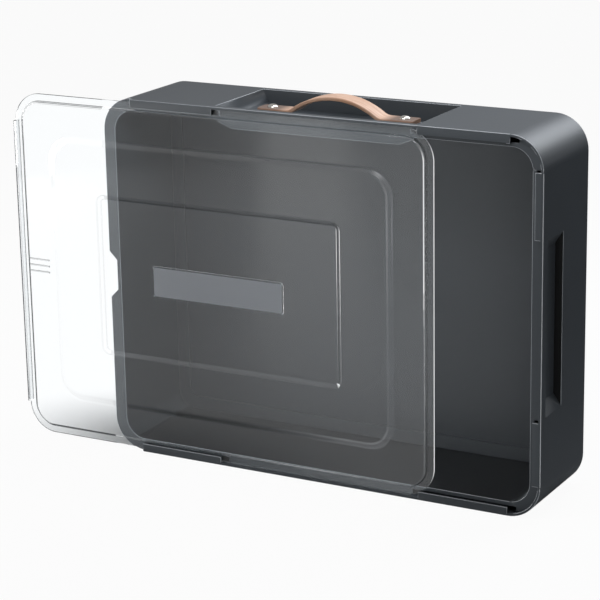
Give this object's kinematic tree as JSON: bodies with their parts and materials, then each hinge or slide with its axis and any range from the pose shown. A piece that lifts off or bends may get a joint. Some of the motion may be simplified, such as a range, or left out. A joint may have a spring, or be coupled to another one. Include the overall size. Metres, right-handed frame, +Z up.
{
  "type": "tool case",
  "caption": "Upright moulded tool case with an open bay, a clear sliding lid held by guide lips, a recessed strap handle, a side hand pocket and a finger notch.",
  "frame": {"origin": "centre of the base face, on the surface that the case stands on", "axes": "+X along the lid's travel towards closed, +Y to the rear, +Z up"},
  "size_m": [0.5487, 0.1035, 0.3543],
  "materials": {
    "body_plastic": "fine satin",
    "panel_plastic": "fine satin",
    "clear_lid": "polished clear",
    "strap_leather": "vegetable tanned",
    "rivet_nickel": "bright nickel",
    "washer_steel": "zinc plated",
    "screw_steel": "black oxide"
  },
  "bodies": {
    "case": {"case_frame": "body_plastic", "back_panel": "panel_plastic", "back_screws": "screw_steel", "strap_handle": "strap_leather", "rivet_cap_left": "rivet_nickel", "rivet_cap_right": "rivet_nickel", "rivet_post_left": "rivet_nickel", "rivet_post_right": "rivet_nickel", "backing_washer_left": "washer_steel", "backing_washer_right": "washer_steel"},
    "lid": {"sliding_lid": "clear_lid"}
  },
  "joints": [
    {"name": "lid_slide", "type": "slide", "parent": "case", "child": "lid", "axis": [1, 0, 0], "range_m": [-0.3095, 0.101]}
  ]
}
